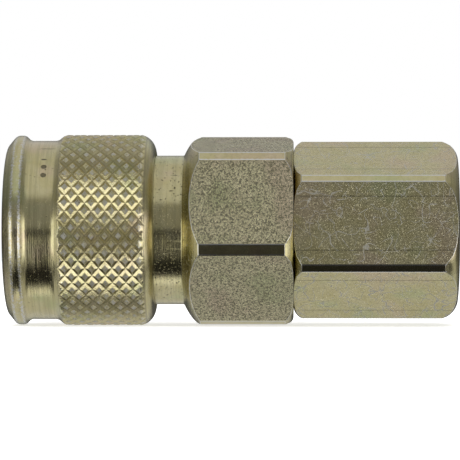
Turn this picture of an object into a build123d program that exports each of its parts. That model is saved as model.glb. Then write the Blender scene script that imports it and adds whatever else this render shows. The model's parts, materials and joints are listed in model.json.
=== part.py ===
from build123d import *
import math
import os

# Quick disconnect coupler, in millimetres.
# X runs along the coupler's axis: 0 is the centre of the port's end face, and the plug's mouth is at -X.
# Stations along the coupler are given from the mouth: mouth + distance.

os.makedirs("parts", exist_ok=True)

overall_length = 54.2
mouth = -overall_length

# Hexagons
body_hex_across = 21.0
body_hex_corner_radius = 11.75
body_hex_roll = 11.5  # degrees from +Y to a corner
body_hex_start = mouth + 21.3
joint_face = mouth + 34.5  # where the socket body and the port adapter meet
port_hex_across = 19.0
port_hex_corner_radius = 10.7
port_hex_roll = 25.1
port_face_radius = 9.0

# Release sleeve
sleeve_end = mouth + 17.85
rim_radius = 11.43
band_radius = 10.8
knurl_radius = 11.5
front_face_radius = 9.6
rear_face_radius = 9.6
counterbore_radius = 9.4
chamber_radius = 9.6
land_radius = 8.48
release_cone_radius = 9.06
stop_shoulder = mouth + 2.42
land_front = mouth + 4.35
land_rear = mouth + 6.9
chamber_rear = mouth + 15.6

# Socket body
neck_radius = 9.0
nose_radius = 8.0
nose_end = mouth + 0.4
nose_chamfer = 0.5
spring_shoulder = mouth + 15.5
sleeve_running_gap = 0.08
socket_radius = 6.0
socket_chamfer = 0.35
socket_floor = mouth + 8.8
tip_bore_radius = 4.1
valve_face = mouth + 13.6  # the flat seat that the valve closes on
cavity_radius = 6.3
guide_shoulder = mouth + 25.2
thread_radius = 8.0  # of the joint between body and adapter

# Locking balls: each moves straight outwards while the sleeve slides back
ball_count = 8
ball_radius = 1.5875
ball_station = mouth + 4.7
ball_centre_radius = 6.69
ball_hole_radius = 1.65
ball_lip_radius = 1.55
ball_lip_top = 6.25
ball_seat_top = 6.45
ball_relief_front = mouth + 2.95  # a shallow groove that clears the ball holes' inner edges
ball_relief_rear = mouth + 6.45
ball_relief_radius = 6.2

# Stop ring, in its groove near the nose
ring_groove_front = mouth + 1.35
ring_groove_rear = mouth + 2.4
ring_groove_radius = 7.0
ring_front = mouth + 1.38
ring_rear = mouth + 2.38
ring_inner_radius = 7.03
ring_outer_radius = 9.25
ring_gap = 2.4
ring_gap_angle = 100

# Seals
seal_groove_front = mouth + 9.8
seal_groove_rear = mouth + 12.4
seal_groove_radius = 5.5
o_ring_thickness = 1.78
plug_seal_radius = 4.58
plug_seal_station = mouth + 11.45
backup_thickness = 0.6
body_seal_radius = 7.43
body_seal_station = mouth + 33.5
body_seal_groove = 2.1

# Valve
poppet_front = mouth + 9.9
crown_radius = 3.6
crown_bore_radius = 2.4
crown_slot_width = 1.5
crown_slot_end = mouth + 13.1
head_front = mouth + 13.7
head_rear = mouth + 15.7
head_radius = 5.6
valve_seal_front = mouth + 13.62
valve_seal_rear = mouth + 14.7
valve_seal_inner = 4.35
valve_seal_outer = 5.2
spring_spigot_radius = 3.2
spring_spigot_end = mouth + 16.7
stem_radius = 1.5
stem_end = mouth + 27.9

# Valve guide
guide_rear = mouth + 27.0
guide_radius = 7.95
guide_hub_radius = 2.6
guide_hub_length = 0.9  # it stands this far behind the disc
guide_bore_radius = 1.56
guide_slot_radius = 5.6
guide_slot_width = 1.5
guide_slot_arc = 56

# Port adapter
nose_thread_radius = 7.97
nose_recess_radius = 6.5
nose_recess_end = mouth + 29.5
through_radius = 4.5
port_floor = mouth + 41.2
port_minor_radius = 5.7225  # of a G 1/4 thread
port_chamfer_radius = 6.2

# Springs
sleeve_wire = 1.0
sleeve_coil_radius = 8.7
sleeve_coil_pitch = 1.9
valve_wire = 0.9
valve_coil_radius = 4.1
valve_coil_pitch = 2.0
end_gap = 0.02  # between a spring's ground end and what it presses on

fit_gap = 0.02  # between pieces that stay together


def turned(outline, mode=Mode.ADD):
    # Revolves a closed outline of (x, radius) points round the coupler's axis.
    with BuildSketch(Plane.XY) as section:
        with BuildLine():
            Polyline(*outline, close=True)
        make_face()
    revolve(section.sketch, axis=Axis.X, mode=mode)


def hexagon_bar(start, end, across, roll):
    # A hexagonal bar along X. roll turns it about the axis.
    with BuildSketch(Plane.YZ.offset(start)) as section:
        RegularPolygon(radius=across / 2, side_count=6, major_radius=False, rotation=roll)
    extrude(section.sketch, amount=end - start)


def turn_corners(front, rear):
    # Rounds a hexagonal bar's corners to a turned outline. front and rear are arcs of three (x, radius) points.
    with BuildSketch(Plane.XY) as section:
        with BuildLine():
            Line((front[0][0], 0), front[0])
            ThreePointArc(*front)
            Line(front[2], rear[0])
            ThreePointArc(*rear)
            Line(rear[2], (rear[2][0], 0))
            Line((rear[2][0], 0), (front[0][0], 0))
        make_face()
    revolve(section.sketch, axis=Axis.X, mode=Mode.INTERSECT)


def radial_plane(angle, station, radius):
    # A plane at one of the ball holes that faces straight out from the axis.
    turn = math.radians(angle)
    outwards = Vector(0, math.cos(turn), math.sin(turn))
    return Plane(origin=Vector(station, 0, 0) + outwards * radius, x_dir=(1, 0, 0), z_dir=outwards)


def ground_coil(start, end, coil_radius, wire, pitch):
    # A right-handed compression spring along X whose two ends are cut flat.
    with BuildLine() as path:
        Helix(pitch=pitch, height=end - start, radius=coil_radius, center=(start, 0, 0), direction=(1, 0, 0))
    with BuildSketch(Plane(path.line @ 0, z_dir=path.line % 0)) as section:
        Circle(wire / 2)
    sweep(section.sketch, path=path.line, is_frenet=True)
    turned([(start, 0), (end, 0), (end, coil_radius + wire), (start, coil_radius + wire)], Mode.INTERSECT)


ball_angles = [360 / ball_count * step for step in range(ball_count)]

# ---- Release sleeve: rim, smooth band, knurled band and rounded rear edge

with BuildPart() as release_sleeve:
    with BuildSketch(Plane.XY) as sleeve_section:
        with BuildLine():
            Line((mouth, counterbore_radius), (mouth, front_face_radius))
            ThreePointArc((mouth, front_face_radius), (mouth + 0.06, 10.02), (mouth + 0.2, 10.31))
            Line((mouth + 0.2, 10.31), (mouth + 0.85, 11.1))
            ThreePointArc((mouth + 0.85, 11.1), (mouth + 1.12, 11.33), (mouth + 1.45, rim_radius))
            Line((mouth + 1.45, rim_radius), (mouth + 1.9, rim_radius))
            ThreePointArc((mouth + 1.9, rim_radius), (mouth + 2.15, 11.36), (mouth + 2.36, 11.18))
            Line((mouth + 2.36, 11.18), (mouth + 2.6, 10.96))
            ThreePointArc((mouth + 2.6, 10.96), (mouth + 2.76, 10.85), (mouth + 2.95, band_radius))
            Line((mouth + 2.95, band_radius), (mouth + 6.2, band_radius))
            Line((mouth + 6.2, band_radius), (mouth + 6.75, 11.33))
            ThreePointArc((mouth + 6.75, 11.33), (mouth + 6.93, 11.45), (mouth + 7.2, knurl_radius))
            Line((mouth + 7.2, knurl_radius), (mouth + 16.2, knurl_radius))
            ThreePointArc((mouth + 16.2, knurl_radius), (mouth + 17.25, 10.9), (sleeve_end, rear_face_radius))
            Line((sleeve_end, rear_face_radius), (sleeve_end, neck_radius + sleeve_running_gap))
            Polyline(
                (sleeve_end, neck_radius + sleeve_running_gap),
                (chamber_rear, neck_radius + sleeve_running_gap),
                (chamber_rear, chamber_radius),
                (land_rear, chamber_radius),
                (land_rear, land_radius),
                (land_front, land_radius),
                (stop_shoulder, release_cone_radius),
                (stop_shoulder, counterbore_radius),
                (mouth, counterbore_radius),
            )
        make_face()
    revolve(sleeve_section.sketch, axis=Axis.X)

release_sleeve.part.label = "release_sleeve"
export_step(release_sleeve.part, "parts/release_sleeve.step")

# ---- Socket body: hexagon, neck, nose, stepped bore and ball holes

with BuildPart() as socket_body:
    hexagon_bar(body_hex_start, joint_face, body_hex_across, body_hex_roll)
    turn_corners(
        [
            (body_hex_start, neck_radius),
            (body_hex_start + 0.9, 10.55),
            (body_hex_start + 2, body_hex_corner_radius),
        ],
        [
            (joint_face - 1, body_hex_corner_radius),
            (joint_face - 0.3, 11.28),
            (joint_face, body_hex_across / 2 - 0.2),
        ],
    )
    turned(
        [
            (nose_end, 0),
            (nose_end, nose_radius - nose_chamfer),
            (nose_end + nose_chamfer, nose_radius),
            (ring_groove_front, nose_radius),
            (ring_groove_front, ring_groove_radius),
            (ring_groove_rear, ring_groove_radius),
            (ring_groove_rear, nose_radius),
            (spring_shoulder, nose_radius),
            (spring_shoulder, neck_radius),
            (body_hex_start, neck_radius),
            (body_hex_start, 0),
        ]
    )
    turned(
        [
            (nose_end, 0),
            (nose_end, socket_radius + socket_chamfer),
            (nose_end + socket_chamfer, socket_radius),
            (ball_relief_front, socket_radius),
            (ball_relief_front, ball_relief_radius),
            (ball_relief_rear, ball_relief_radius),
            (ball_relief_rear, socket_radius),
            (socket_floor - 0.6, socket_radius),
            (socket_floor, socket_radius - 0.9),
            (socket_floor, tip_bore_radius + 0.3),
            (socket_floor + 0.3, tip_bore_radius),
            (seal_groove_front, tip_bore_radius),
            (seal_groove_front, seal_groove_radius),
            (seal_groove_rear, seal_groove_radius),
            (seal_groove_rear, tip_bore_radius),
            (valve_face, tip_bore_radius),
            (valve_face, cavity_radius),
            (guide_shoulder, cavity_radius),
            (guide_shoulder, thread_radius),
            (body_seal_station - body_seal_groove / 2, thread_radius),
            (body_seal_station - body_seal_groove / 2, body_seal_radius + o_ring_thickness / 2 + 0.03),
            (joint_face, body_seal_radius + o_ring_thickness / 2 + 0.03),
            (joint_face, 0),
        ],
        Mode.SUBTRACT,
    )
    for angle in ball_angles:
        with Locations(radial_plane(angle, ball_station, socket_radius - 0.6)):
            Cylinder(ball_lip_radius, 2, align=(Align.CENTER, Align.CENTER, Align.MIN), mode=Mode.SUBTRACT)
        with Locations(radial_plane(angle, ball_station, ball_lip_top)):
            Cone(
                ball_lip_radius,
                ball_hole_radius,
                ball_seat_top - ball_lip_top,
                align=(Align.CENTER, Align.CENTER, Align.MIN),
                mode=Mode.SUBTRACT,
            )
        with Locations(radial_plane(angle, ball_station, ball_seat_top)):
            Cylinder(ball_hole_radius, 2, align=(Align.CENTER, Align.CENTER, Align.MIN), mode=Mode.SUBTRACT)

socket_body.part.label = "socket_body"
export_step(socket_body.part, "parts/socket_body.step")

# ---- Port adapter: hexagon, threaded nose, through bore and threaded port

with BuildPart() as port_adapter:
    hexagon_bar(joint_face, 0, port_hex_across, port_hex_roll)
    turn_corners(
        [
            (joint_face, port_hex_across / 2 - 0.2),
            (joint_face + 0.38, 10.25),
            (joint_face + 1, port_hex_corner_radius),
        ],
        [
            (-1.8, port_hex_corner_radius),
            (-0.8, 10.2),
            (0, port_face_radius),
        ],
    )
    turned(
        [
            (guide_rear, 0),
            (guide_rear, nose_thread_radius - 0.4),
            (guide_rear + 0.4, nose_thread_radius),
            (body_seal_station - body_seal_groove / 2, nose_thread_radius),
            (body_seal_station - body_seal_groove / 2, body_seal_radius - o_ring_thickness / 2 - 0.03),
            (joint_face, body_seal_radius - o_ring_thickness / 2 - 0.03),
            (joint_face, 0),
        ]
    )
    turned(
        [
            (guide_rear, 0),
            (guide_rear, nose_recess_radius),
            (nose_recess_end, nose_recess_radius),
            (nose_recess_end + 2, through_radius),
            (port_floor, through_radius),
            (port_floor + 0.7, port_minor_radius),
            (port_minor_radius - port_chamfer_radius, port_minor_radius),
            (0, port_chamfer_radius),
            (0, 0),
        ],
        Mode.SUBTRACT,
    )

port_adapter.part.label = "port_adapter"
export_step(port_adapter.part, "parts/port_adapter.step")

# ---- Locking balls, one node each because each rises in its own hole

for number, angle in enumerate(ball_angles, start=1):
    with BuildPart() as locking_ball:
        with Locations(radial_plane(angle, ball_station, ball_centre_radius)):
            Sphere(ball_radius)
    locking_ball.part.label = f"locking_ball_{number}"
    export_step(locking_ball.part, f"parts/locking_ball_{number}.step")

# ---- Sleeve spring, between the body's shoulder and the back of the sleeve's land

with BuildPart() as sleeve_spring:
    ground_coil(
        land_rear + end_gap, spring_shoulder - end_gap, sleeve_coil_radius, sleeve_wire, sleeve_coil_pitch
    )

sleeve_spring.part.label = "sleeve_spring"
export_step(sleeve_spring.part, "parts/sleeve_spring.step")

# ---- Sleeve stop ring: a snap ring with a gap

with BuildPart() as sleeve_stop_ring:
    turned(
        [
            (ring_front, ring_inner_radius),
            (ring_rear, ring_inner_radius),
            (ring_rear, ring_outer_radius),
            (ring_front, ring_outer_radius),
        ]
    )
    with Locations(radial_plane(ring_gap_angle, ring_front, ring_inner_radius - 1)):
        Box(4, ring_gap, 4, align=(Align.CENTER, Align.CENTER, Align.MIN), mode=Mode.SUBTRACT)

sleeve_stop_ring.part.label = "sleeve_stop_ring"
export_step(sleeve_stop_ring.part, "parts/sleeve_stop_ring.step")

# ---- Plug seal: an O-ring in the body's inner groove

with BuildPart() as plug_seal:
    with Locations(Plane.YZ.offset(plug_seal_station)):
        Torus(plug_seal_radius, o_ring_thickness / 2)

plug_seal.part.label = "plug_seal"
export_step(plug_seal.part, "parts/plug_seal.step")

# ---- Backup ring, in front of the plug seal in the same groove

with BuildPart() as backup_ring:
    turned(
        [
            (seal_groove_front + fit_gap, tip_bore_radius + 0.05),
            (seal_groove_front + fit_gap + backup_thickness, tip_bore_radius + 0.05),
            (seal_groove_front + fit_gap + backup_thickness, seal_groove_radius - 0.05),
            (seal_groove_front + fit_gap, seal_groove_radius - 0.05),
        ]
    )

backup_ring.part.label = "backup_ring"
export_step(backup_ring.part, "parts/backup_ring.step")

# ---- Valve poppet: slotted crown, head with its seal groove, and stem

with BuildPart() as valve_poppet:
    turned(
        [
            (poppet_front, crown_bore_radius),
            (poppet_front, crown_radius - 0.3),
            (poppet_front + 0.3, crown_radius),
            (head_front, crown_radius),
            (head_front, valve_seal_inner - fit_gap),
            (valve_seal_rear, valve_seal_inner - fit_gap),
            (valve_seal_rear, valve_seal_outer + fit_gap),
            (head_front, valve_seal_outer + fit_gap),
            (head_front, head_radius),
            (head_rear, head_radius),
            (head_rear, spring_spigot_radius),
            (spring_spigot_end, spring_spigot_radius - 0.3),
            (spring_spigot_end, stem_radius),
            (stem_end - 0.3, stem_radius),
            (stem_end, stem_radius - 0.3),
            (stem_end, 0),
            (crown_slot_end + 0.4, 0),
            (crown_slot_end, crown_bore_radius),
        ]
    )
    with BuildSketch(Plane.YZ.offset(poppet_front)) as crown_slots:
        Rectangle(crown_radius * 3, crown_slot_width)
        Rectangle(crown_slot_width, crown_radius * 3)
    extrude(crown_slots.sketch, amount=crown_slot_end - poppet_front, mode=Mode.SUBTRACT)

valve_poppet.part.label = "valve_poppet"
export_step(valve_poppet.part, "parts/valve_poppet.step")

# ---- Valve seal, in the face of the valve's head

with BuildPart() as valve_seal:
    turned(
        [
            (valve_seal_front, valve_seal_inner + 0.15),
            (valve_seal_rear, valve_seal_inner),
            (valve_seal_rear, valve_seal_outer),
            (valve_seal_front, valve_seal_outer - 0.15),
        ]
    )

valve_seal.part.label = "valve_seal"
export_step(valve_seal.part, "parts/valve_seal.step")

# ---- Valve spring, between the valve's head and the guide

with BuildPart() as valve_spring:
    ground_coil(
        head_rear + end_gap, guide_shoulder - end_gap, valve_coil_radius, valve_wire, valve_coil_pitch
    )

valve_spring.part.label = "valve_spring"
export_step(valve_spring.part, "parts/valve_spring.step")

# ---- Valve guide: a disc with flow slots and a hub for the stem

with BuildPart() as valve_guide:
    turned(
        [
            (guide_shoulder, guide_bore_radius),
            (guide_rear + guide_hub_length, guide_bore_radius),
            (guide_rear + guide_hub_length, guide_hub_radius - 0.3),
            (guide_rear, guide_hub_radius),
            (guide_rear, guide_radius),
            (guide_shoulder, guide_radius),
        ]
    )
    with BuildSketch(Plane.YZ.offset(guide_shoulder)) as guide_slots:
        for turn in (45, 135, 225, 315):
            slot_line = CenterArc(
                (0, 0), guide_slot_radius, turn - guide_slot_arc / 2, guide_slot_arc, mode=Mode.PRIVATE
            )
            SlotArc(slot_line, guide_slot_width)
    extrude(guide_slots.sketch, amount=guide_rear - guide_shoulder, mode=Mode.SUBTRACT)

valve_guide.part.label = "valve_guide"
export_step(valve_guide.part, "parts/valve_guide.step")

# ---- Body seal: an O-ring in the joint between the socket body and the port adapter

with BuildPart() as body_seal:
    with Locations(Plane.YZ.offset(body_seal_station)):
        Torus(body_seal_radius, o_ring_thickness / 2)

body_seal.part.label = "body_seal"
export_step(body_seal.part, "parts/body_seal.step")
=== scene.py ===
import json
import math

import bmesh
import bpy
import numpy as np
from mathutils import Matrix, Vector


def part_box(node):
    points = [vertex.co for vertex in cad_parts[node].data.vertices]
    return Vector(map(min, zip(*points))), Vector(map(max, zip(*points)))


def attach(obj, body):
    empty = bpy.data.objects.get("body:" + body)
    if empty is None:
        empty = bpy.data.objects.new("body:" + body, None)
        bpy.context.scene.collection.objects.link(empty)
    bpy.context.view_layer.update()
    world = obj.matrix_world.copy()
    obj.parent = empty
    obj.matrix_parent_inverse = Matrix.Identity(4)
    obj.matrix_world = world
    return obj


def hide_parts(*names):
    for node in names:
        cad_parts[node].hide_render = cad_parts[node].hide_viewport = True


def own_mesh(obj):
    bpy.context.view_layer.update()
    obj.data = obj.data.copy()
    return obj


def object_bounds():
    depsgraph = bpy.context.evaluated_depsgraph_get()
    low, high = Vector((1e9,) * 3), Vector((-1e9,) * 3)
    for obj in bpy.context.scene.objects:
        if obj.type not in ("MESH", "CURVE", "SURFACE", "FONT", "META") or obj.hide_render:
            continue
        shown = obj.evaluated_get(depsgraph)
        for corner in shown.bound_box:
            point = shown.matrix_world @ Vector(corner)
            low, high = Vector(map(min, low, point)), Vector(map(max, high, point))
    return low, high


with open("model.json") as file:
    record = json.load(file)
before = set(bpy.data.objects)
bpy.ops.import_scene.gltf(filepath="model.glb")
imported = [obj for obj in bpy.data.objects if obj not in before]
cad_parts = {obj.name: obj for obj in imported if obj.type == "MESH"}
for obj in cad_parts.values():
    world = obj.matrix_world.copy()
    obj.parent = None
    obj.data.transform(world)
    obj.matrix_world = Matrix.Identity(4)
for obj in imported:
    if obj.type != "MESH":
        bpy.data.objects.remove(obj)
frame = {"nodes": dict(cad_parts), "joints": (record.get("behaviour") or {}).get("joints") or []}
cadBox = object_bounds()
mm = 0.001
mouth = cadBox[0].x  # stations are millimetres behind this plane, radii are millimetres from the X axis
pi = math.pi
fullTurn = 2 * pi
print("frame loaded, mouth at", round(mouth, 4))


def arcPoints(first, via, last, count):
    # points on the circle through three points, from first to last
    (ax, ay), (bx, by), (cx, cy) = first, via, last
    twice = 2 * (ax * (by - cy) + bx * (cy - ay) + cx * (ay - by))
    a2, b2, c2 = ax * ax + ay * ay, bx * bx + by * by, cx * cx + cy * cy
    ox = (a2 * (by - cy) + b2 * (cy - ay) + c2 * (ay - by)) / twice
    oy = (a2 * (cx - bx) + b2 * (ax - cx) + c2 * (bx - ax)) / twice
    radius = math.hypot(ax - ox, ay - oy)
    start = math.atan2(ay - oy, ax - ox)
    sweep = (math.atan2(cy - oy, cx - ox) - start + pi) % fullTurn - pi
    steps = [start + sweep * k / (count - 1) for k in range(count)]
    return [(ox + radius * math.cos(t), oy + radius * math.sin(t)) for t in steps]


def arcUpTo(first, via, last, reach, count):
    # the part of that arc from its low end up to the radius reach, in equal steps of radius
    dense = arcPoints(first, via, last, count=60)
    if dense[0][1] > dense[-1][1]:
        dense = dense[::-1]
    radii = [p[1] for p in dense]
    wanted = np.linspace(radii[0], reach, count)
    return [(float(np.interp(r, radii, [p[0] for p in dense])), float(r)) for r in wanted]


def filletLoop(corners, steps=3):
    # corners (station, radius, fillet) of a closed loop become rows (station, radius, wear)
    rows = []
    longest = 0.45  # of either side, taken by a fillet
    for index, (s, r, size) in enumerate(corners):
        if size == 0:
            rows.append((s, r, 0.0))
            continue
        point = np.array((s, r))
        back = np.array(corners[index - 1][:2]) - point
        ahead = np.array(corners[(index + 1) % len(corners)][:2]) - point
        backLength, aheadLength = np.linalg.norm(back), np.linalg.norm(ahead)
        back, ahead = back / backLength, ahead / aheadLength
        half = math.acos(max(-1, min(1, float(back @ ahead)))) / 2
        cut = min(size / math.tan(half), longest * backLength, longest * aheadLength)
        size = cut * math.tan(half)
        middle = (back + ahead) / np.linalg.norm(back + ahead)
        centre = point + middle * size / math.sin(half)
        fromAngle = math.atan2(*(point + back * cut - centre)[::-1])
        toAngle = math.atan2(*(point + ahead * cut - centre)[::-1])
        sweep = (toAngle - fromAngle + pi) % fullTurn - pi
        outward = back[0] * ahead[1] - back[1] * ahead[0] > 0
        for k in range(steps + 1):
            t = fromAngle + sweep * k / steps
            wear = math.sin(pi * k / steps) if outward else 0.0
            rows.append((centre[0] + size * math.cos(t), centre[1] + size * math.sin(t), wear))
    return rows


def latheMesh(name, angles, columns, fine=None):
    # columns[j] is the closed outline at angles[j]; fine = (first row, last row, function) splits those
    # rows' faces in four, with a middle point whose radius and wear the function gives
    grid = np.array(columns, float)
    across, along = grid.shape[:2]
    turn = np.array(angles, float)[:, None]
    s, r, wear = grid[:, :, 0], grid[:, :, 1], grid[:, :, 2]
    points = np.stack([mouth + s * mm, r * np.cos(turn) * mm, r * np.sin(turn) * mm], -1).reshape(-1, 3)
    wears, faces, middles = list(wear.ravel()), [], []
    for j in range(across):
        k = (j + 1) % across
        for i in range(along):
            n = (i + 1) % along
            quad = (j * along + i, k * along + i, k * along + n, j * along + n)
            if fine and fine[0] <= i < fine[1]:
                centre = len(points) + len(middles)
                gap = (angles[k] - angles[j]) % fullTurn
                middles.append(((s[j, i] + s[j, n]) / 2, angles[j] + gap / 2))
                faces += [(quad[a], quad[(a + 1) % 4], centre) for a in range(4)]
            else:
                faces.append(quad)
    if middles:
        stations, turns = np.array(middles).T
        radii, edge = fine[2](stations, turns)
        extra = [mouth + stations * mm, radii * np.cos(turns) * mm, radii * np.sin(turns) * mm]
        points = np.vstack([points, np.stack(extra, -1)])
        wears += list(edge)
    mesh = bpy.data.meshes.new(name)
    mesh.from_pydata(points.tolist(), [], faces)
    edges = mesh.attributes.new("wear", "FLOAT", "POINT")
    edges.data.foreach_set("value", np.clip(wears, 0, 1).astype(np.float32))
    return addObject(name, mesh)


def addObject(name, content):
    made = bpy.data.objects.new(name, content)
    bpy.context.scene.collection.objects.link(made)
    return made


def smoothed(piece, sharpDegrees=32):
    piece.data.shade_smooth()
    piece.data.set_sharp_from_angle(angle=math.radians(sharpDegrees))
    piece.modifiers.new("evenNormals", "WEIGHTED_NORMAL").keep_sharp = True
    return piece


def hexagonColumns(across, cornerRadius, rollDegrees, blend=0.35, edgeWear=0.9):
    # (angle, reach, wear) round a hexagon whose turned corners meet the flats in small fillets
    apothem = across / 2
    rise = math.sqrt((cornerRadius - blend) ** 2 - (apothem - blend) ** 2)
    flatEnd = math.atan2(rise, apothem)
    roundStart = math.atan2(rise, apothem - blend)
    flat = np.linspace(-flatEnd, flatEnd, 13)
    blendStep = (roundStart - flatEnd) / 3
    upper = [flatEnd + blendStep, flatEnd + 2 * blendStep, roundStart]
    corner = np.linspace(roundStart, pi / 3 - roundStart, 6)[1:-1]
    lower = [pi / 3 - t for t in upper[::-1]]
    columns = []
    for side in range(6):
        middle = math.radians(rollDegrees + 30 + 60 * side)
        for t in flat:
            columns.append((middle + t, apothem / math.cos(t), 0.0))
        for t in upper + lower:
            near = min(t, pi / 3 - t)
            along = (apothem - blend) * math.cos(near) + rise * math.sin(near)
            reach = along + math.sqrt(max(0, blend**2 - (apothem - blend) ** 2 - rise**2 + along**2))
            columns.append((middle + t, reach, edgeWear))
        for t in corner:
            columns.append((middle + t, cornerRadius, 0.0))
    return sorted(columns, key=lambda c: (c[0] - math.radians(rollDegrees + 30)) % fullTurn)


def wearAlongEdges(grid, sides, start):
    # rows that lie on the hexagon itself, not on its turned chamfers, take the wear of their column
    near = 0.03
    reach, wear = (np.array([side[k] for side in sides])[:, None] for k in (1, 2))
    rows = (grid[:, :, 0] > start) & (np.abs(grid[:, :, 1] - reach) < near)
    grid[:, :, 2] = np.where(rows, np.maximum(grid[:, :, 2], wear), grid[:, :, 2])


def paintFaces(piece, materials, pick):
    # pick(station, radius, outwardness, lean along the axis) gives each face's material number
    for m in materials:
        piece.data.materials.append(m)
    count = len(piece.data.polygons)
    centre, normal = np.zeros(count * 3), np.zeros(count * 3)
    piece.data.polygons.foreach_get("center", centre)
    piece.data.polygons.foreach_get("normal", normal)
    centre, normal = centre.reshape(-1, 3), normal.reshape(-1, 3)
    radius = np.hypot(centre[:, 1], centre[:, 2])
    outward = (centre[:, 1] * normal[:, 1] + centre[:, 2] * normal[:, 2]) / np.maximum(radius, 1e-9)
    numbers = pick((centre[:, 0] - mouth) / mm, radius / mm, outward, np.abs(normal[:, 0]))
    piece.data.polygons.foreach_set("material_index", np.asarray(numbers, np.int32))
    piece.data.update()


class Value:
    # one output socket; arithmetic on it adds Math nodes
    def __init__(self, shade, socket):
        self.shade, self.socket = shade, socket

    def calc(self, operation, other=None, flipped=False):
        sides = [self] if other is None else [other, self] if flipped else [self, other]
        return self.shade.node("ShaderNodeMath", {"operation": operation}, dict(enumerate(sides)))

    def __add__(self, other):
        return self.calc("ADD", other)

    __radd__ = __add__

    def __sub__(self, other):
        return self.calc("SUBTRACT", other)

    def __rsub__(self, other):
        return self.calc("SUBTRACT", other, True)

    def __mul__(self, other):
        return self.calc("MULTIPLY", other)

    __rmul__ = __mul__

    def clipped(self):
        return self.calc("MINIMUM", 1.0).calc("MAXIMUM", 0.0)


class Shade:
    # a node tree with one method that adds any node
    def __init__(self, tree):
        self.tree = tree
        tree.nodes.clear()

    def node(self, kind, settings=None, inputs=None, output=0):
        made = self.tree.nodes.new(kind)
        for key, setting in (settings or {}).items():
            setattr(made, key, setting)
        for key, value in (inputs or {}).items():
            if isinstance(value, Value):
                self.tree.links.new(value.socket, made.inputs[key])
            else:
                made.inputs[key].default_value = value
        return Value(self, made.outputs[output]) if made.outputs else None

    def noise(self, vector, scale=1.0, detail=4.0, roughness=0.55, distortion=0.0):
        inputs = {"Vector": vector, "Scale": scale, "Detail": detail}
        inputs.update({"Roughness": roughness, "Distortion": distortion})
        return self.node("ShaderNodeTexNoise", {}, inputs)

    def ramp(self, value, low, high):
        # 0 at low, 1 at high, smooth between; low may be the larger
        inputs = {"Value": value, "From Min": low, "From Max": high}
        return self.node("ShaderNodeMapRange", {"clamp": True, "interpolation_type": "SMOOTHSTEP"}, inputs)

    def mix(self, factor, first, second):
        first, second = ((*c, 1) if isinstance(c, tuple) else c for c in (first, second))
        return self.node("ShaderNodeMix", {"data_type": "RGBA"}, {0: factor, 6: first, 7: second}, 2)

    def bump(self, height, strength, distance):
        inputs = {"Height": height, "Strength": strength, "Distance": distance * mm}
        return self.node("ShaderNodeBump", {}, inputs)

    def place(self):
        # object coordinates as a vector, x, y and z, and the distance from the axis, in millimetres
        point = self.node("ShaderNodeTexCoord", {}, {}, "Object")
        point = self.node("ShaderNodeVectorMath", {"operation": "SCALE"}, {0: point, "Scale": 1 / mm})
        parts = [self.node("ShaderNodeSeparateXYZ", {}, {0: point}, axis) for axis in "XYZ"]
        radius = (parts[1] * parts[1] + parts[2] * parts[2]).calc("SQRT")
        return point, parts[0], parts[1], parts[2], radius

    def vector(self, x, y, z):
        return self.node("ShaderNodeCombineXYZ", {}, {0: x, 1: y, 2: z})

    def attribute(self, name):
        return self.node("ShaderNodeAttribute", {"attribute_name": name}, {}, "Fac")

    def surface(self, inputs):
        shader = self.node("ShaderNodeBsdfPrincipled", {}, inputs)
        self.node("ShaderNodeOutputMaterial", {}, {0: shader})


def newMaterial(name):
    made = bpy.data.materials.new(name)
    made.use_nodes = True
    return made, Shade(made.node_tree)


# plated steel: turned, knurled, and the hexagons' flats
plating = {
    "gold": (0.53, 0.475, 0.245),
    "olive": (0.37, 0.345, 0.19),
    "pale": (0.62, 0.575, 0.37),
    "green": (0.43, 0.48, 0.25),
    "pink": (0.60, 0.46, 0.36),
    "wornSteel": (0.64, 0.64, 0.62),
    # near-black for real grime, pits, bruises and tool marks, and also painted shade in the knurl's valleys
    # and inside the punched marks
    "dirtAndPaintedShade": (0.05, 0.045, 0.03),
    "brown": (0.50, 0.43, 0.30),
    "rubbed": (0.54, 0.53, 0.48),  # crests where the coat has gone to grey
    "paintedGlint": (0.85, 0.78, 0.52),
    "shade": (0.24, 0.22, 0.13),
    "straw": (0.74, 0.69, 0.46),
    "patches": 0.16,  # noise scales, per millimetre: the broad patches, the clouds and the worn edges
    "clouds": 0.45,
    "rub": 3.2,
}


def tintedPlating(shade, point, base, pale):
    # the slow drift of a yellow zinc coat: olive to straw, with faint green and pink patches
    broad = shade.noise(point, plating["patches"], 3, 0.5)
    cloudy = shade.noise(point, plating["clouds"], 4, 0.6, 0.4)
    coat = shade.mix(shade.ramp(cloudy, 0.30, 0.75) * 0.6, base, pale)
    coat = shade.mix(shade.ramp(broad, 0.52, 0.66) * 0.5, coat, plating["green"])
    return shade.mix(shade.ramp(broad, 0.48, 0.34) * 0.45, coat, plating["pink"])


def wornEdges(shade, point, amount):
    # the mesh's wear broken up, so that the coat is rubbed through in places
    rub = shade.noise(point, plating["rub"], 5, 0.75)
    edge = shade.attribute("wear")
    return shade.ramp(edge + (rub - 0.5) * 1.1, 0.60, 0.86) * amount


turning = {"lines": 2.6, "hair": 9, "pits": 3.8, "scuffs": (0.9, 2.5, 2.5)}  # noise scales, per millimetre


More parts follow.
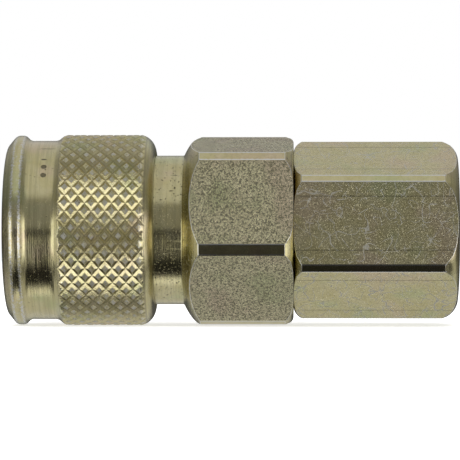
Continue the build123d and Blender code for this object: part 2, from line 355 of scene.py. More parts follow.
def turnedPlating(name, base, pale, lineStrength, specks=0.335, marks=False):
    # lines round the axis from a lathe; more specks (pits) show as that level goes up
    made, shade = newMaterial(name)
    point, x, y, z, radius = shade.place()
    lineScale, hairScale = turning["lines"], turning["hair"]
    around = (y + z) * 0.05
    lines = shade.noise(shade.vector(x * lineScale, radius * lineScale, around), 1.0, 6, 0.72)
    hair = shade.noise(shade.vector(x * hairScale, radius * hairScale, around * 3), 1.0, 3, 0.6)
    coat = tintedPlating(shade, point, base, pale)
    coat = shade.mix(shade.ramp(lines, 0.56, 0.40) * 0.45, coat, plating["olive"])
    pits = shade.ramp(shade.noise(point, turning["pits"], 3, 0.6), specks, specks - 0.05)
    coat = shade.mix(pits * 0.8, coat, plating["dirtAndPaintedShade"])
    worn = wornEdges(shade, point, 0.9)
    scuffs = (part * scale for part, scale in zip((x, y, z), turning["scuffs"]))
    scuffs = shade.noise(shade.vector(*scuffs), 1.0, 6, 0.75, 1.2)
    worn = (worn + shade.ramp(scuffs, 0.66, 0.74) * 0.5).clipped()
    coat = shade.mix(worn, coat, plating["wornSteel"])
    height = lines * 0.6 + hair * 0.4 - pits * 0.6
    if marks:
        stamped = punchMarks(shade, x, y, z)
        # painted shade: the punched marks are darkened inside, where shade falls in the recesses
        coat = shade.mix(stamped * 0.75, coat, plating["dirtAndPaintedShade"])
        height = height - stamped * 2.5
    normal = shade.bump(height, lineStrength, 0.1)
    rough = 0.14 + lines * 0.10 + pits * 0.3 + worn * 0.1
    shade.surface({"Base Color": coat, "Metallic": 1.0, "Roughness": rough, "Normal": normal})
    return made


punches = {
    # plain marks on the sleeve's smooth band: (station, degrees above the front, half length, half width)
    "line": (5.0, 64, 0.9, 0.07),
    "dash": (4.8, 51, 0.30, 0.12),
    "dots": [(4.85, 44), (4.85, 37)],
    "dotRadius": 0.3,
    "bandRadius": 10.8,
}


def punchMarks(shade, x, y, z):
    # 1 inside the punched line, dash and dots
    height = z.calc("ARCTAN2", y * -1.0) * (180 / pi)
    total = None
    perDegree = math.radians(punches["bandRadius"])  # millimetres round the band
    spots = [punches["line"], punches["dash"]]
    spots += [(s, a, punches["dotRadius"], punches["dotRadius"]) for s, a in punches["dots"]]
    for s, angle, halfLength, halfWidth in spots:
        across = (x - (mouth / mm + s)) * (1 / halfLength)
        upwards = (height - angle) * (perDegree / halfWidth)
        distance = (across * across + upwards * upwards).calc("SQRT")
        spot = shade.ramp(distance, 1.25, 0.75)
        total = spot if total is None else total.calc("MAXIMUM", spot)
    return total


knurling = {"mottle": 2.2, "bruises": 4.4, "grit": 9, "topBand": (0.05, 0.015), "valleyBand": (0.05, 0.01)}


def knurlPlating(name):
    # gold grooves with painted shade in their valleys, and small tops rubbed grey and bruised dark
    made, shade = newMaterial(name)
    point, *_, radius = shade.place()
    coat = tintedPlating(shade, point, plating["gold"], plating["pale"])
    mottle = shade.noise(point, knurling["mottle"], 5, 0.65)
    coat = shade.mix(shade.ramp(mottle, 0.42, 0.62) * 0.35, coat, plating["brown"])
    crest, valley = sleeve["crest"], sleeve["crest"] - sleeve["depth"]
    top = shade.ramp(radius, *(crest - gap for gap in knurling["topBand"]))
    coat = shade.mix(top * shade.ramp(mottle, 0.38, 0.60) * 0.85, coat, plating["rubbed"])
    bruise = shade.noise(point, knurling["bruises"], 4, 0.7)
    coat = shade.mix(shade.ramp(bruise, 0.44, 0.36) * top * 0.6, coat, plating["dirtAndPaintedShade"])
    # painted shade: the coat is darkened in the grooves' valleys, where shade falls
    valleyShade = shade.ramp(radius, *(valley + gap for gap in knurling["valleyBand"]))
    coat = shade.mix(valleyShade * 0.3, coat, plating["dirtAndPaintedShade"])
    chips = shade.ramp(bruise, 0.60, 0.66) * top
    worn = (wornEdges(shade, point, 0.35) + chips * 0.6).clipped()
    coat = shade.mix(worn, coat, plating["wornSteel"])
    grit = shade.noise(point, knurling["grit"], 3, 0.6)
    normal = shade.bump(mottle * 0.8 + grit * 0.15 + bruise * top * 1.2, 0.8, 0.08)
    rough = 0.14 + mottle * 0.10 + top * 0.26
    shade.surface({"Base Color": coat, "Metallic": 1.0, "Roughness": rough, "Normal": normal})
    return made


def flatPlating(name, base, pale, grain):
    # hexagon flats: lumpy grain with painted shade between the lumps and painted glints on them, and on the
    # adapter rolled lines and scratches
    made, shade = newMaterial(name)
    point, x, y, z, radius = shade.place()
    coat = tintedPlating(shade, point, base, pale)
    lumps = shade.noise(point, grain["scale"], 2, 0.5, 0.3)
    fine = shade.noise(point, grain["scale"] * 2.3, 3, 0.6)
    # painted shade: the low spots between the lumps are darkened towards the shade colour
    coat = shade.mix(shade.ramp(lumps, 0.56, 0.36) * grain["creviceShade"], coat, plating["shade"])
    pits = shade.ramp(fine, 0.44, 0.34) * grain["pits"]
    coat = shade.mix(pits, coat, plating["dirtAndPaintedShade"])
    # painted glints: pale straw specks in the colour stand in for highlights on the grain's lumps
    glints = shade.noise(point, grain["scale"] * 2.6, 2, 0.6)
    paintedGlint = shade.ramp(glints, 0.59, 0.66) * grain["paintedGlint"]
    coat = shade.mix(paintedGlint, coat, plating["paintedGlint"])
    worn = wornEdges(shade, point, 0.95)
    rough = grain["rough"] + fine * 0.14
    height = lumps * 0.75 + fine * 0.25 - pits * 0.3 + paintedGlint * 0.5
    if grain["lines"]:
        rolled = shade.noise(shade.vector(x * 0.12, (y + z) * 6, radius * 6), 1.0, 4, 0.6)
        height = height * 0.75 + rolled * 0.25
        seam = math.hypot(adapter["across"] / 2, grain["lines"])
        drawn = shade.ramp((radius - seam).calc("ABSOLUTE"), 0.018, 0.006)
        coat = shade.mix(drawn * 0.8, coat, plating["dirtAndPaintedShade"])
        scratched = scratchLines(shade, point, x, y, z)
        worn = (worn + scratched * grain["scratches"]).clipped()
        rough = rough + scratched * 0.35
    coat = shade.mix(worn, coat, plating["wornSteel"])
    normal = shade.bump(height, 1.0, grain["depth"])
    shade.surface({"Base Color": coat, "Metallic": 1.0, "Roughness": rough, "Normal": normal})
    return made


scratches = {
    # (noise scale, slant) of each family of hairlines, and their half width
    "families": [(0.09, 0.9), (0.11, -1.3), (0.15, 0.4), (0.20, -0.6), (0.28, 1.6), (0.45, -0.2)],
    "halfWidth": 0.028,
}


def scratchLines(shade, point, x, y, z):
    # hairlines, each broken up, where slow noises cross their middle value
    total = None
    for scale, skew in scratches["families"]:
        field = shade.noise(shade.vector(x + z * skew, z - x * skew + 7 * skew, y), scale, 1, 0.3)
        halfWidth = scratches["halfWidth"] * scale
        line = shade.ramp((field - 0.5).calc("ABSOLUTE"), halfWidth, halfWidth * 0.4)
        line = line * shade.ramp(shade.noise(point, 0.3 + scale, 5, 0.7), 0.47, 0.52)
        total = line if total is None else total.calc("MAXIMUM", line)
    return total


def machineLines(shade, scale, detail, roughness):
    # fine tool marks round the axis
    _, x, y, z, radius = shade.place()
    return shade.noise(shade.vector(x * scale, radius * scale, (y + z) * 0.1), 1.0, detail, roughness)


def borePlating(name):
    # the unseen bores: the same coat, duller, with tool marks
    made, shade = newMaterial(name)
    lines = machineLines(shade, 6, 4, 0.7)
    coat = tintedPlating(shade, shade.place()[0], plating["olive"], plating["gold"])
    coat = shade.mix(shade.ramp(lines, 0.6, 0.35) * 0.5, coat, plating["dirtAndPaintedShade"])
    normal = shade.bump(lines, 0.4, 0.03)
    rough = 0.34 + lines * 0.14
    shade.surface({"Base Color": coat, "Metallic": 1.0, "Roughness": rough, "Normal": normal})
    return made


cornerGrain = {
    "scale": 1.6,
    "depth": 0.012,
    "creviceShade": 0.1,
    "pits": 0.1,
    "paintedGlint": 0.04,
    "rough": 0.1,
    "lines": 0,
}
cornerPlating = flatPlating("cornerPlating", plating["gold"], plating["pale"], cornerGrain)
boreCoat = borePlating("boreCoat")
print("plated steels ready")


# the inner pieces' two colours, dark to light
tints = {
    "ball": ((0.66, 0.67, 0.69), (0.82, 0.82, 0.83)),
    "wire": ((0.24, 0.24, 0.25), (0.50, 0.50, 0.50)),
    "oiled": ((0.07, 0.067, 0.068), (0.14, 0.133, 0.125)),
    "turned": ((0.44, 0.43, 0.41), (0.70, 0.69, 0.66)),
    "stain": (0.33, 0.27, 0.19),
    "rubber": ((0.012, 0.012, 0.013), (0.045, 0.044, 0.043)),
    "plastic": ((0.70, 0.68, 0.62), (0.84, 0.83, 0.79)),
}


def polishedBallSteel():
    made, shade = newMaterial("ballSteel")
    point = shade.place()[0]
    swirl = shade.noise(point, 1.7, 5, 0.7, 0.8)
    coat = shade.mix(shade.ramp(swirl, 0.4, 0.7), *tints["ball"])
    normal = shade.bump(shade.noise(point, 9, 3), 0.08, 0.01)
    rough = 0.08 + swirl * 0.1
    shade.surface({"Base Color": coat, "Metallic": 1.0, "Roughness": rough, "Normal": normal})
    return made


def drawnWire():
    made, shade = newMaterial("drawnWire")
    _, x, y, z, radius = shade.place()
    turn = z.calc("ARCTAN2", y)
    streaks = shade.noise(shade.vector(x * 5, radius * 5, turn * 1.5), 1.0, 5, 0.7)
    coat = shade.mix(shade.ramp(streaks, 0.35, 0.65), *tints["wire"])
    normal = shade.bump(streaks, 0.3, 0.02)
    rough = 0.26 + streaks * 0.2
    shade.surface({"Base Color": coat, "Metallic": 1.0, "Roughness": rough, "Normal": normal})
    return made


def oiledSpringSteel():
    made, shade = newMaterial("oiledSteel")
    point = shade.place()[0]
    cloud = shade.noise(point, 0.5, 5, 0.6, 0.5)
    coat = shade.mix(shade.ramp(cloud, 0.35, 0.7), *tints["oiled"])
    normal = shade.bump(shade.noise(point, 5, 3, 0.5), 0.12, 0.01)
    rough = 0.3 + cloud * 0.2
    shade.surface({"Base Color": coat, "Metallic": 0.9, "Roughness": rough, "Normal": normal})
    return made


def turnedSteel():
    made, shade = newMaterial("turnedSteel")
    lines = machineLines(shade, 7, 5, 0.7)
    stain = shade.noise(shade.place()[0], 0.9, 4, 0.6, 0.4)
    coat = shade.mix(shade.ramp(lines, 0.35, 0.65), *tints["turned"])
    coat = shade.mix(shade.ramp(stain, 0.58, 0.72) * 0.4, coat, tints["stain"])
    normal = shade.bump(lines, 0.4, 0.02)
    rough = 0.2 + lines * 0.18
    shade.surface({"Base Color": coat, "Metallic": 1.0, "Roughness": rough, "Normal": normal})
    return made


def sealRubber():
    made, shade = newMaterial("sealRubber")
    point = shade.place()[0]
    bloom = shade.noise(point, 0.8, 6, 0.7, 0.3)
    coat = shade.mix(shade.ramp(bloom, 0.45, 0.72), *tints["rubber"])
    normal = shade.bump(shade.noise(point, 12, 4, 0.6), 0.3, 0.02)
    shade.surface({"Base Color": coat, "Roughness": 0.42 + bloom * 0.2, "Normal": normal})
    return made


def backupPlastic():
    made, shade = newMaterial("backupPlastic")
    haze = shade.noise(shade.place()[0], 1.1, 5, 0.6)
    coat = shade.mix(shade.ramp(haze, 0.35, 0.7), *tints["plastic"])
    normal = shade.bump(machineLines(shade, 9, 4, 0.6), 0.2, 0.02)
    shade.surface({"Base Color": coat, "Roughness": 0.38 + haze * 0.15, "Normal": normal})
    return made


ballSteel, wireSteel, ringSteel = polishedBallSteel(), drawnWire(), oiledSpringSteel()
valveSteel, rubber, plastic = turnedSteel(), sealRubber(), backupPlastic()
print("inner materials ready")


sleeve = {
    "columns": 360,
    "firstColumn": 0.6,  # degrees
    "crest": 11.5,
    "band": 10.8,
    "rim": 11.43,
    "end": 17.85,
    "bore": 9.08,
    "springRoom": 9.6,
    "ballLip": 8.48,
    "mouthBore": 9.4,
    # the knurl
    "pitch": 1.6,  # along the axis
    "around": 36,  # diamonds round the sleeve
    "rowsPerPitch": 10,
    "rows": 69,
    "crossing": 7.5,  # a groove crossing, as a station and degrees above the front
    "crossingLift": 11.4,
    "depth": 0.27,
    "share": 0.31,  # a groove's half width, as a share of the pitch
    "lipWear": 0.75,
    "rimWear": (0.56, 0.8),  # over the whole rim, and along its two edges
}
sleeveTurned = turnedPlating("sleeveTurned", plating["gold"], plating["pale"], 0.55, marks=True)
sleeveKnurled = knurlPlating("sleeveKnurled")


def sleeveRear(count):
    return arcPoints((16.2, sleeve["crest"]), (17.25, 10.9), (sleeve["end"], 9.6), count)


def sleeveEnvelope(s):
    # the turned outline that the knurl is cut into
    ramp = [(6.2, 10.9), (6.75, 11.33)]
    ramp += arcPoints((6.75, 11.33), (6.93, 11.45), (7.2, sleeve["crest"]), 6)[1:]
    line = ramp + sleeveRear(40)
    return np.interp(s, [p[0] for p in line], [p[1] for p in line])


def knurlSurface(s, angle):
    # (radius, wear) on the knurled band: two families of V grooves below the crest
    turns = (angle - math.radians(180 - sleeve["crossingLift"])) / (fullTurn / sleeve["around"])
    along = (s - sleeve["crossing"]) / sleeve["pitch"]
    nearest = np.full(np.shape(s), 1.0)
    for line in (along + turns, along - turns):
        nearest = np.minimum(nearest, np.abs(line - np.round(line)))
    cut = np.maximum(0, 1 - nearest / sleeve["share"])
    outline = sleeveEnvelope(s)
    radius = np.minimum(outline, sleeve["crest"] - sleeve["depth"] * cut)
    lip = np.clip(1 - np.abs(nearest - sleeve["share"]) / 0.1, 0, 1)
    ends = np.clip(1 - np.abs(s - 7.1) / 0.25, 0, 1) + np.clip(1 - np.abs(s - 16.45) / 0.3, 0, 1)
    wear = np.clip(lip * sleeve["lipWear"] + ends * (cut < 0.5), 0, 1)
    return radius, wear * (outline > sleeve["crest"] - 0.3)


def sleeveFront():
    # from the mouth over the rim and the smooth band to the knurl
    rim, band = sleeve["rim"], sleeve["band"]
    arcs = [
        arcPoints((0, 9.6), (0.06, 10.02), (0.2, 10.31), 5),
        [(0.2 + 0.65 * k / 3, 10.31 + 0.79 * k / 3) for k in (1, 2)],
        arcPoints((0.85, 11.1), (1.12, 11.33), (1.45, rim), 6),
        arcPoints((1.9, rim), (2.15, 11.36), (2.36, 11.18), 6),
        arcPoints((2.6, 10.96), (2.84, 10.84), (3.35, band), 7),
        [(4.0, band), (4.8, band)],
        arcPoints((5.5, band), (5.98, 10.84), (6.2, 10.9), 6)[:-1],
    ]
    return [(0, sleeve["mouthBore"], 0.04)] + [(s, r, 0) for arc in arcs for s, r in arc]


def buildSleeve():
    steps = np.arange(sleeve["columns"])
    angles = steps * fullTurn / sleeve["columns"] + math.radians(sleeve["firstColumn"])
    step = sleeve["pitch"] / sleeve["rowsPerPitch"]
    first = sleeve["crossing"] - 8 * step
    knurlRows = [first + k * step for k in range(sleeve["rows"])]
    tail = [p for p in sleeveRear(30) if p[0] > knurlRows[-1] + 0.05]
    end, bore, room, lip = (sleeve[k] for k in ("end", "bore", "springRoom", "ballLip"))
    inside = [
        (end, bore, 0.05), (15.6, bore, 0), (15.6, room, 0), (6.9, room, 0), (6.9, lip, 0.1),
        (4.35, lip, 0.1), (2.42, 9.06, 0), (2.42, sleeve["mouthBore"], 0),
    ]
    head = filletLoop(sleeveFront() + [(knurlRows[0], 10.9, 0), (end, 9.6, 0)] + inside)
    split = next(k for k, row in enumerate(head) if abs(row[0] - knurlRows[0]) < 1e-6 and row[1] > 10)
    broad, edge = sleeve["rimWear"]
    front = []
    for s, r, wear in head[:split]:
        rubbed = max(broad if s < 2.3 else 0, edge - abs(s - 1.15) / 1.2, edge - abs(s - 2.15) / 1.2)
        front.append((s, r, max(wear, rubbed if r > 9.7 else 0)))
    columns = []
    for angle in angles:
        radius, wear = knurlSurface(np.array(knurlRows), np.full(len(knurlRows), angle))
        rows = front + list(zip(knurlRows, radius, wear))
        columns.append(rows + [(s, r, 0.0) for s, r in tail[:-1]] + head[split + 1 :])
    fine = (split, split + len(knurlRows) - 1, knurlSurface)
    piece = latheMesh("releaseSleeve", angles, columns, fine)
    low, high = knurlRows[0] + 0.4, 17.0  # the stations between which the knurl's finish shows

    def pick(s, r, out, lean):
        return np.where(r < room + 0.02, 2, np.where((s > low) & (s < high) & (r > 10), 1, 0))

    paintFaces(piece, [sleeveTurned, sleeveKnurled, boreCoat], pick)
    smoothed(piece, 30)
    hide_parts("release_sleeve")
    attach(piece, "sleeve")


buildSleeve()
print("release sleeve built")


body = {
    "across": 21.0,
    "corner": 11.75,
    "roll": 11.5,
    "hexStart": 21.3,
    "hexEnd": 34.5,
    "neck": 9.0,
    "nose": 8.0,
    "plugBore": 6.0,
    "valveRoom": 6.3,
    "valveSeat": 4.1,
    "jointBore": 8.0,
    "edge": 0.22,  # the hexagon's edge fillets
    "ballStation": 4.7,
    "ballHole": 1.65,
    "ballMiddle": 7.1,
    "balls": 8,
}
bodyGrain = {
    "scale": 4.3,
    "depth": 0.24,
    "creviceShade": 0.95,
    "pits": 0.7,
    "paintedGlint": 0.8,
    "rough": 0.15,
    "lines": 0,
}
bodyTurned = turnedPlating("bodyTurned", plating["gold"], plating["pale"], 0.45, specks=0.385)
bodyFlats = flatPlating("bodyFlats", plating["pale"], plating["straw"], bodyGrain)


def buildBody():
    start, end, corner, edge = (body[k] for k in ("hexStart", "hexEnd", "corner", "edge"))
    neck, tip, joint = body["neck"], body["nose"], body["jointBore"]
    plug, room, seat = body["plugBore"], body["valveRoom"], body["valveSeat"]
    sides = hexagonColumns(body["across"], corner, body["roll"])
    nose = [
        (0.4, 6.35, 0.04), (0.4, 7.5, 0.08), (0.9, tip, 0.08), (1.35, tip, 0.04), (1.35, 7.0, 0),
        (2.4, 7.0, 0), (2.4, tip, 0.04), (5.5, tip, 0), (9.0, tip, 0), (12.0, tip, 0), (15.5, tip, 0),
        (15.5, neck, 0.12), (18.4, neck, 0), (start, neck, 0.18),
    ]
    inside = [
        (end, 8.35, 0), (32.45, 8.35, 0), (32.45, joint, 0), (25.2, joint, 0), (25.2, room, 0.1),
        (20, room, 0), (13.6, room, 0), (13.6, seat, 0.08), (12.4, seat, 0.05), (12.4, 5.5, 0),
        (9.8, 5.5, 0), (9.8, seat, 0.05), (9.1, seat, 0), (8.8, 4.4, 0), (8.8, 5.1, 0), (8.2, plug, 0),
        (6.45, plug, 0), (6.45, 6.2, 0), (2.95, 6.2, 0), (2.95, plug, 0), (0.75, plug, 0.05),
    ]
    columns = []
    for _, reach, _ in sides:
        front = arcUpTo((start, neck), (start + 0.9, 10.55), (start + 2, corner), reach, 7)
        rear = arcUpTo((end - 1, corner), (end - 0.3, 11.28), (end, 10.3), reach, 5)[::-1]
        outer = [(s, r, 0) for s, r in front[1:-1]] + [(*front[-1], edge), (26, reach, 0), (30.5, reach, 0)]
        outer += [(*rear[0], edge)] + [(s, r, 0) for s, r in rear[1:-1]] + [(*rear[-1], 0.05)]
        columns.append(filletLoop(nose + outer + inside))
    grid = np.array(columns)
    wearAlongEdges(grid, sides, start)
    piece = latheMesh("socketBody", [side[0] for side in sides], grid)
    cutBallHoles(piece)

    def pick(s, r, out, lean):
        hexagon = (s > start + 0.7) & (lean < 0.2)
        outside = np.where(hexagon, np.where(r < corner - 0.16, 1, 3), 0)
        return np.where((r < 8.4) & (s > 0.7) & (out < 0.5), 2, outside)

    paintFaces(piece, [bodyTurned, bodyFlats, boreCoat, cornerPlating], pick)
    smoothed(piece)
    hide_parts("socket_body")
    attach(piece, "coupler_body")


def cutBallHoles(piece):
    # the radial holes, cut by one mesh of rods
    rods = bmesh.new()
    radius = body["ballHole"] * mm
    for k in range(body["balls"]):
        turn = fullTurn * k / body["balls"]
        out = Vector((0, math.cos(turn), math.sin(turn)))
        made = bmesh.ops.create_cone(
            rods, cap_ends=True, segments=32, radius1=radius, radius2=radius, depth=3 * mm
        )
        spin = out.to_track_quat("Z", "X").to_matrix()
        bmesh.ops.rotate(rods, verts=made["verts"], cent=(0, 0, 0), matrix=spin)
        shift = out * body["ballMiddle"] * mm + Vector((mouth + body["ballStation"] * mm, 0, 0))
        bmesh.ops.translate(rods, verts=made["verts"], vec=shift)
    mesh = bpy.data.meshes.new("rods")
    rods.to_mesh(mesh)
    rods.free()
    cutter = addObject("rods", mesh)
    cut = piece.modifiers.new("ballHoles", "BOOLEAN")
    cut.operation, cut.solver, cut.object = "DIFFERENCE", "EXACT", cutter
    graph = bpy.context.evaluated_depsgraph_get()
    result = bpy.data.meshes.new_from_object(piece.evaluated_get(graph))
    piece.modifiers.clear()
    piece.data = result
    bpy.data.objects.remove(cutter)


buildBody()
print("socket body built")


adapter = {
    "across": 19.0,
    "corner": 10.7,
    "roll": 25.1,
    "start": 34.5,
    "end": 54.2,
    "edge": 0.2,  # the hexagon's edge fillets
    "shoulder": 9.3,
    "joint": 7.97,
    "flowBore": 4.5,
    "guideBore": 6.5,
}
thread = {
    "pitch": 1.337,
    "minor": 5.7225,
    "major": 6.58,
    "mouth": 6.75,
    "start": 42.6,
    "perTurn": 96,
    "halfRidge": 0.48,  # shares of the pitch: half the ridge's foot, half its crest
    "halfCrest": 0.08,
    "sunk": 0.06,
}
adapterGrain = {
    "scale": 2.8,
    "depth": 0.05,
    "creviceShade": 0.2,
    "pits": 0.35,
    "paintedGlint": 1.0,
    "rough": 0.16,
    "lines": 3.2,  # rolled lines this far each side of a flat's middle
    "scratches": 0.6,
}
adapterTurned = turnedPlating("adapterTurned", plating["gold"], plating["pale"], 0.4)
adapterFlats = flatPlating("adapterFlats", plating["gold"], plating["pale"], adapterGrain)


def buildAdapter():
    start, end, corner, edge = (adapter[k] for k in ("start", "end", "corner", "edge"))
    shoulder, joint, flow = adapter["shoulder"], adapter["joint"], adapter["flowBore"]
    guide, begin = adapter["guideBore"], thread["start"]
    minor, major = thread["minor"], thread["major"]
    sides = hexagonColumns(adapter["across"], corner, adapter["roll"])
    nose = [
        (27.0, guide, 0.05), (27.0, joint - 0.4, 0.05), (27.4, joint, 0.05), (30, joint, 0),
        (32.45, joint, 0), (32.45, 6.51, 0), (start, 6.51, 0), (start, shoulder, 0.05),
    ]
    inside = [
        (end, thread["mouth"], 0.06), (end - 0.2, major, 0), (48, major, 0), (begin, major, 0),
        (begin - 0.9, minor, 0), (41.9, minor - 0.3, 0), (41.2, flow, 0.15), (36, flow, 0),
        (31.5, flow, 0.2), (29.5, guide, 0.1),
    ]
    columns = []
    for _, reach, _ in sides:
        front = arcUpTo((start, shoulder), (start + 0.38, 10.25), (start + 1, corner), reach, 6)
        rear = arcUpTo((end - 1.8, corner), (end - 0.8, 10.2), (end, 9.0), reach, 8)[::-1]
        outer = [(s, r, 0) for s, r in front[1:-1]] + [(*front[-1], edge), (41, reach, 0), (47, reach, 0)]
        outer += [(*rear[0], edge)] + [(s, r, 0) for s, r in rear[1:-1]] + [(*rear[-1], 0.12)]
        columns.append(filletLoop(nose + outer + inside))
    grid = np.array(columns)
    wearAlongEdges(grid, sides, start)
    piece = latheMesh("portAdapter", [side[0] for side in sides], grid)

    def pick(s, r, out, lean):
        outside = np.where((s > start) & (lean < 0.2), np.where(r < corner - 0.07, 1, 3), 0)
        return np.where((r < 8.8) & (out < 0.5), 2, outside)

    paintFaces(piece, [adapterTurned, adapterFlats, boreCoat, cornerPlating], pick)
    smoothed(piece)
    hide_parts("port_adapter")
    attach(piece, "coupler_body")


def buildPortThread():
    # one helical ridge inside the port; its crest follows the mouth's chamfer and fades at the far end
    pitch, minor, major, perTurn = (thread[k] for k in ("pitch", "minor", "major", "perTurn"))
    halfRidge, halfCrest, foot = thread["halfRidge"], thread["halfCrest"], major + thread["sunk"]
    first, last = thread["start"] + 0.1, adapter["end"] - (halfRidge + 0.02) * pitch
    count = int((last - first) / pitch * perTurn)
    points, faces = [], []
    for k in range(count + 1):
        turn = fullTurn * k / perTurn
        middle = first + pitch * k / perTurn
        fade = min(1, k / (perTurn * 0.5), (count - k) / (perTurn * 0.25) + 0.02)
        chamfer = thread["mouth"] - (adapter["end"] - middle)
        crest = max(minor, chamfer) * fade + (major - 0.02) * (1 - fade)
        profile = ((-halfRidge, foot), (-halfCrest, crest), (halfCrest, crest), (halfRidge, foot))
        for offset, r in profile:
            x = mouth + (middle + offset * pitch) * mm
            points.append((x, r * math.cos(turn) * mm, r * math.sin(turn) * mm))
    for k in range(count):
        for i in range(4):
            n = (i + 1) % 4
            faces.append((k * 4 + i, k * 4 + n, (k + 1) * 4 + n, (k + 1) * 4 + i))
    faces += [(0, 3, 2, 1), tuple(count * 4 + i for i in range(4))]
    mesh = bpy.data.meshes.new("portThread")
    mesh.from_pydata(points, [], faces)
    mesh.attributes.new("wear", "FLOAT", "POINT")
    piece = addObject("portThread", mesh)
    tidyNormals(piece)
    mesh.materials.append(boreCoat)
    smoothed(piece)
    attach(piece, "coupler_body")


def tidyNormals(piece):
    shape = bmesh.new()
    shape.from_mesh(piece.data)
    bmesh.ops.recalc_face_normals(shape, faces=shape.faces)
    shape.to_mesh(piece.data)
    shape.free()


buildAdapter()
buildPortThread()
print("port adapter built")


# both are wound closed and ground at the ends
springs = [
    {"name": "sleeveSpring", "node": "sleeve_spring", "body": "spring_end", "joint": "sleeve_slide",
     "wire": 1.0, "coil": 8.7, "turns": 4.9},
    {"name": "valveSpring", "node": "valve_spring", "body": "coupler_body", "joint": "valve_slide",
     "wire": 0.9, "coil": 4.1, "turns": 5.3},
]
springEnds = {"closedTurns": 0.8, "inset": 0.3}  # inset: the wire's middle inside the ground face, in wires


def springHeights(low, high, wire, count, perTurn):
    # the wire's middle, step by step along the axis: closed turns at both ends and an even slope between
    closed = springEnds["closedTurns"] * perTurn
    inset = springEnds["inset"] * wire
    spare = (high - low) - 2 * inset - 2 * wire * springEnds["closedTurns"]
    slope = spare / (count - 2 * closed)
    heights = [0.0]
    for k in range(count):
        heights.append(heights[-1] + (wire / perTurn if k < closed or k >= count - closed else slope))
    scale = (high - low - 2 * inset) / heights[-1]
    return [low + inset + height * scale for height in heights]


def buildSpring(spring):
    low, high = (corner.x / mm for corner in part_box(spring["node"]))
    wire, perTurn, ring = spring["wire"], 48, 14
    count = int(spring["turns"] * perTurn)
    points, faces = [], []
    for k, middle in enumerate(springHeights(low, high, wire, count, perTurn)):
        turn = fullTurn * k / perTurn
        for i in range(ring):
            a = fullTurn * i / ring
            x = min(high, max(low, middle + wire / 2 * math.sin(a)))
            r = spring["coil"] + wire / 2 * math.cos(a)
            points.append((x * mm, r * math.cos(turn) * mm, r * math.sin(turn) * mm))
    for k in range(count):
        for i in range(ring):
            n = (i + 1) % ring
            faces.append((k * ring + i, k * ring + n, (k + 1) * ring + n, (k + 1) * ring + i))
    faces += [tuple(range(ring))[::-1], tuple(count * ring + i for i in range(ring))]
    mesh = bpy.data.meshes.new(spring["name"])
    mesh.from_pydata(points, [], faces)
    piece = addObject(spring["name"], mesh)
    tidyNormals(piece)
    mesh.materials.append(wireSteel)
    mesh.shade_smooth()
    mesh.set_sharp_from_angle(angle=math.radians(40))
    travel = next(j["range_m"][1] for j in frame["joints"] if j["name"] == spring["joint"])
    length = (high - low) * mm
    keep = (length - travel) / length
    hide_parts(spring["node"])
    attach(piece, spring["body"])
    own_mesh(piece)


for spring in springs:
    buildSpring(spring)
print("springs built")


# the nodes that stay as they are, each with its own finish
finishes = {
    "sleeve_stop_ring": ringSteel, "plug_seal": rubber, "body_seal": rubber, "valve_seal": rubber,
    "backup_ring": plastic, "valve_poppet": valveSteel, "valve_guide": valveSteel,
}
finishes.update({name: ballSteel for name in frame["nodes"] if name.startswith("locking_ball")})
for name, material in finishes.items():
    node = frame["nodes"][name]
    node.data.materials.clear()
    node.data.materials.append(material)
    if material is not ringSteel:
        node.data.shade_smooth()
        node.data.set_sharp_from_angle(angle=math.radians(30))
print("inner nodes finished")


studio = {
    "floorSize": 1.6,
    "floorTint": ((0.90, 0.90, 0.89), (0.94, 0.94, 0.93)),
    "floorGlow": 0.66,
    "camera": (-0.0183, -0.385, 0.0),
    "aim": (-0.0274, 0.0, 0.0),
    "fieldDegrees": 8.27,
    "softbox": {"place": (-0.05, -0.12, 0.45), "size": (0.5, 0.3), "watts": 2.0},
}


def buildFloor():
    half = studio["floorSize"] / 2
    mesh = bpy.data.meshes.new("floor")
    corners = [(-half, -half, 0), (half, -half, 0), (half, half, 0), (-half, half, 0)]
    mesh.from_pydata(corners, [], [(0, 1, 2, 3)])
    floor = addObject("floor", mesh)
    floor.location = (cadBox[0].x / 2, 0, cadBox[0].z)
    made, shade = newMaterial("paleFloor")
    tint = shade.mix(shade.noise(shade.place()[0], 0.02, 3), *studio["floorTint"])
    glow = studio["floorGlow"]
    shade.surface({"Base Color": tint, "Roughness": 0.8, "Emission Color": tint, "Emission Strength": glow})
    mesh.materials.append(made)
    floor.visible_glossy = False


# the light tent's brightnesses, and where each part of it fades in: Lift is in degrees above the
# horizon, Aside the sideways share of the direction, from 0 straight ahead to 1 along the coupler
tent = {
    "white": 0.72,
    "mid": 0.30,
    "dark": 0.05,
    "black": 0.022,
    "glow": 1.2,
    "side": 2.2,
    "inner": 1.2,
    "skirt": 0.38,
    "rear": 0.58,
    "rearGap": 0.10,
    "midLift": (-3, 5),
    "whiteLift": (39, 44),
    "whiteAside": (0.3, 0.75),
    "whiteNarrowing": 0.6,
    "blackLift": (-38, -46),
    "glowLift": (-74, -79),
    "sideAside": (0.52, 0.66),
    "sideEndAside": (0.78, 0.95),
    "sideDimming": 0.6,
    "sideLift": ((-31, -21), (16, 5)),
    "innerAside": ((0.16, 0.45), (0.64, 0.5)),
    "innerLift": ((-4, -12), (-48, -38)),
    "skirtAside": (0.45, 0.62),
    "skirtLift": (-36, -46),
    "rearLift": ((2, 30), (-12, -26)),
    "rearStart": (-0.05, 0.15),
}


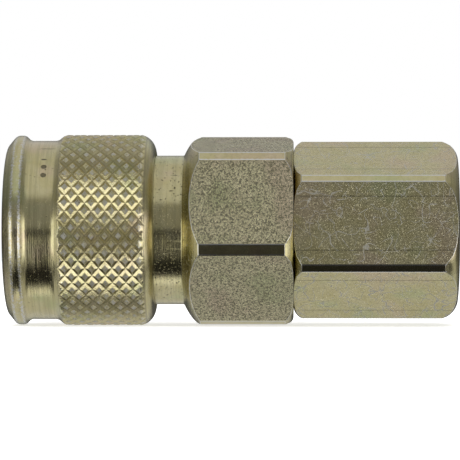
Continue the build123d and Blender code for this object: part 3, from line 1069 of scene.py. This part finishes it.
def buildWorld():
    # a light tent: white above and behind, a dark gap in front, white patches to the left and right
    world = bpy.data.worlds.new("tent")
    bpy.context.scene.world = world
    world.use_nodes = True
    shade = Shade(world.node_tree)
    ray = shade.node("ShaderNodeTexCoord", {}, {}, "Generated")
    x, y, z = (shade.node("ShaderNodeSeparateXYZ", {}, {0: ray}, axis) for axis in "XYZ")
    lift = z.calc("ARCTAN2", (x * x + y * y).calc("SQRT")) * (180 / pi)
    aside = x.calc("ABSOLUTE")

    def fade(name):
        # the product of one entry's ramps, over lift or aside as its name says
        source = lift if name.endswith("Lift") else aside
        limits = tent[name] if isinstance(tent[name][0], tuple) else (tent[name],)
        total = None
        for low, high in limits:
            step = shade.ramp(source, low, high)
            total = step if total is None else total * step
        return total

    narrow = 1 - fade("whiteAside") * tent["whiteNarrowing"]
    front = tent["dark"] + fade("midLift") * (tent["mid"] - tent["dark"])
    front = front + fade("whiteLift") * (tent["white"] - tent["mid"]) * narrow
    front = front - fade("blackLift") * (tent["dark"] - tent["black"]) + fade("glowLift") * tent["glow"]
    side = fade("sideAside") * (1 - fade("sideEndAside") * tent["sideDimming"]) * fade("sideLift")
    inner = fade("innerAside") * fade("innerLift")
    skirt = fade("skirtAside") * fade("skirtLift")
    front = front + side * tent["side"] + inner * tent["inner"] + skirt * tent["skirt"]
    above, below = (shade.ramp(lift, *limits) for limits in tent["rearLift"])
    rear = tent["rearGap"] + (above * narrow + below) * tent["rear"]
    behind = shade.ramp(y, *tent["rearStart"])
    level = front * (1 - behind) + rear * behind
    seen = shade.node("ShaderNodeLightPath", {}, {}, "Is Camera Ray")
    level = level * (1 - seen) + seen
    background = shade.node("ShaderNodeBackground", {}, {"Color": (1, 1, 1, 1), "Strength": level})
    shade.node("ShaderNodeOutputWorld", {}, {0: background})


def facing(place, target):
    return (Vector(target) - Vector(place)).to_track_quat("-Z", "Y").to_euler()


def addSoftbox(name, place, size, watts):
    light = bpy.data.lights.new(name, "AREA")
    light.shape, light.size, light.size_y, light.energy = "RECTANGLE", size[0], size[1], watts
    made = addObject(name, light)
    made.location = place
    made.rotation_euler = facing(place, (cadBox[0].x / 2, 0, 0))
    made.visible_glossy = False


def addCamera():
    lens = bpy.data.cameras.new("camera")
    lens.sensor_width = 36
    lens.lens = lens.sensor_width / 2 / math.tan(math.radians(studio["fieldDegrees"] / 2))
    lens.clip_start, lens.clip_end = 0.01, 10
    made = addObject("camera", lens)
    made.location = studio["camera"]
    made.rotation_euler = facing(studio["camera"], studio["aim"])
    bpy.context.scene.camera = made


buildFloor()
buildWorld()
addSoftbox("topBox", **studio["softbox"])
addCamera()
bpy.context.scene.view_settings.view_transform = "Standard"
print("studio ready")
